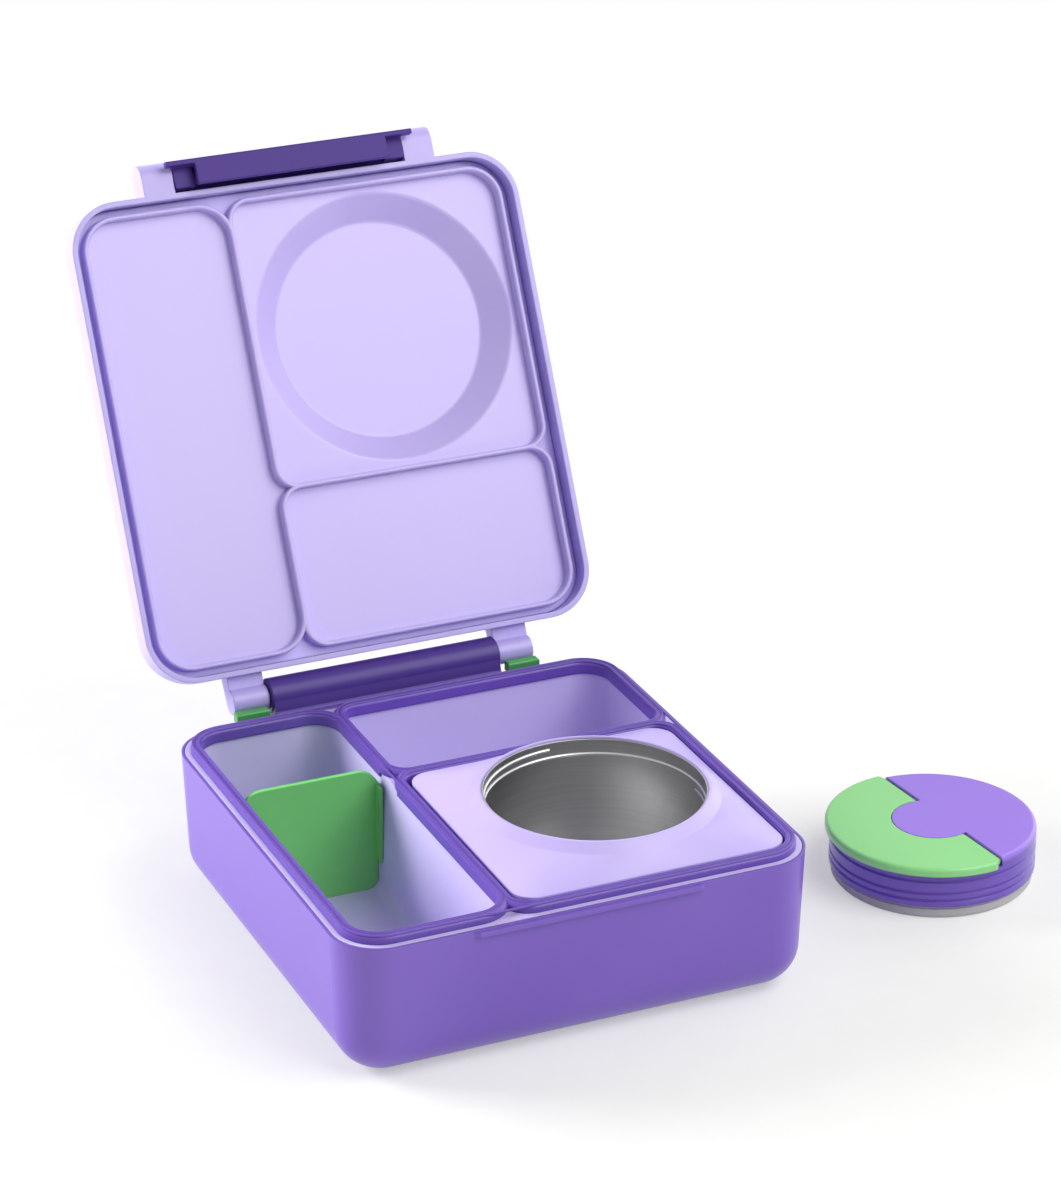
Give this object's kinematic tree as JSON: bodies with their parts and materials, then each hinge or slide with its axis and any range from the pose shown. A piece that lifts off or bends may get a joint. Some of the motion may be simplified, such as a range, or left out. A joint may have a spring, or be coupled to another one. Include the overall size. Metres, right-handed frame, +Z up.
{
  "type": "bento lunch box",
  "caption": "Insulated bento lunch box with a hinged latching lid, sealed food wells, a lift-out divider and a removable insulated jar whose screw cap stands beside it",
  "frame": {"origin": "centre of the shell's flat underside", "axes": "+X to the right seen from the latch side, +Y towards the hinge, +Z up"},
  "size_m": [0.3296, 0.3244, 0.2687],
  "materials": {
    "shell_purple": "satin moulded plastic with fine grain",
    "deep_purple": "satin moulded plastic",
    "liner_lilac": "smooth moulded plastic",
    "lid_lilac": "satin moulded plastic",
    "collar_lilac": "satin moulded plastic",
    "seal_rubber": "soft-touch silicone",
    "divider_green": "slightly translucent soft plastic",
    "handle_green": "smooth moulded plastic",
    "cap_purple": "smooth moulded plastic",
    "gasket_grey": "silicone",
    "jar_steel": "brushed round the axis",
    "steel_pin": "plain drawn wire"
  },
  "bodies": {
    "base": {"outer_shell": "shell_purple", "hinge_barrel": "deep_purple", "inner_liner": "liner_lilac", "seal_gasket": "seal_rubber", "hinge_pin_left": "steel_pin", "hinge_pin_right": "steel_pin", "release_spring_left": "steel_pin", "release_spring_right": "steel_pin"},
    "lid": {"lid_cover": "lid_lilac", "lid_inner_panel": "lid_lilac", "latch_pin_left": "steel_pin", "latch_pin_right": "steel_pin"},
    "latch": {"latch": "deep_purple"},
    "divider": {"divider": "divider_green"},
    "button_left": {"release_button_left": "handle_green"},
    "button_right": {"release_button_right": "handle_green"},
    "jar": {"jar_outer_wall": "jar_steel", "jar_inner_wall": "jar_steel", "jar_base": "jar_steel", "jar_collar": "collar_lilac"},
    "cap": {"cap_body": "cap_purple", "cap_core": "lid_lilac", "cap_gasket": "gasket_grey", "cap_handle_pin_front": "steel_pin", "cap_handle_pin_back": "steel_pin"},
    "cap_handle": {"cap_handle": "handle_green"}
  },
  "joints": [
    {"name": "lid_hinge", "type": "hinge", "parent": "base", "child": "lid", "pos_m": [0, 0.1115, 0.064], "axis": [1, 0, 0], "range_deg": [0, 117.15]},
    {"name": "latch_hinge", "type": "hinge", "parent": "lid", "child": "latch", "pos_m": [0, 0.21281, 0.2576], "axis": [-1, 0, 0], "range_deg": [-7, 95]},
    {"name": "release_left", "type": "slide", "parent": "base", "child": "button_left", "axis": [0, 0, -1], "range_m": [0, 0.0025], "stiffness_N_per_m": 300, "springref_m": -0.002, "deforming": ["release_spring_left"]},
    {"name": "release_right", "type": "slide", "parent": "base", "child": "button_right", "axis": [0, 0, -1], "range_m": [0, 0.0025], "stiffness_N_per_m": 300, "springref_m": -0.002, "deforming": ["release_spring_right"]},
    {"name": "divider_lift", "type": "slide", "parent": "base", "child": "divider", "axis": [0, 0, -1], "range_m": [-0.07, 0]},
    {"name": "jar_lift", "type": "slide", "parent": "base", "child": "jar", "axis": [0, 0, -1], "range_m": [-0.085, 0]},
    {"name": "cap_lift", "type": "slide", "parent": "base", "child": "cap", "axis": [0, 0, -1], "range_m": [-0.08, 0]},
    {"name": "cap_handle_hinge", "type": "hinge", "parent": "cap", "child": "cap_handle", "pos_m": [0.18979, -0.03071, 0.0221], "axis": [-0.1038, 0.9946, 0], "range_deg": [0, 90]}
  ]
}
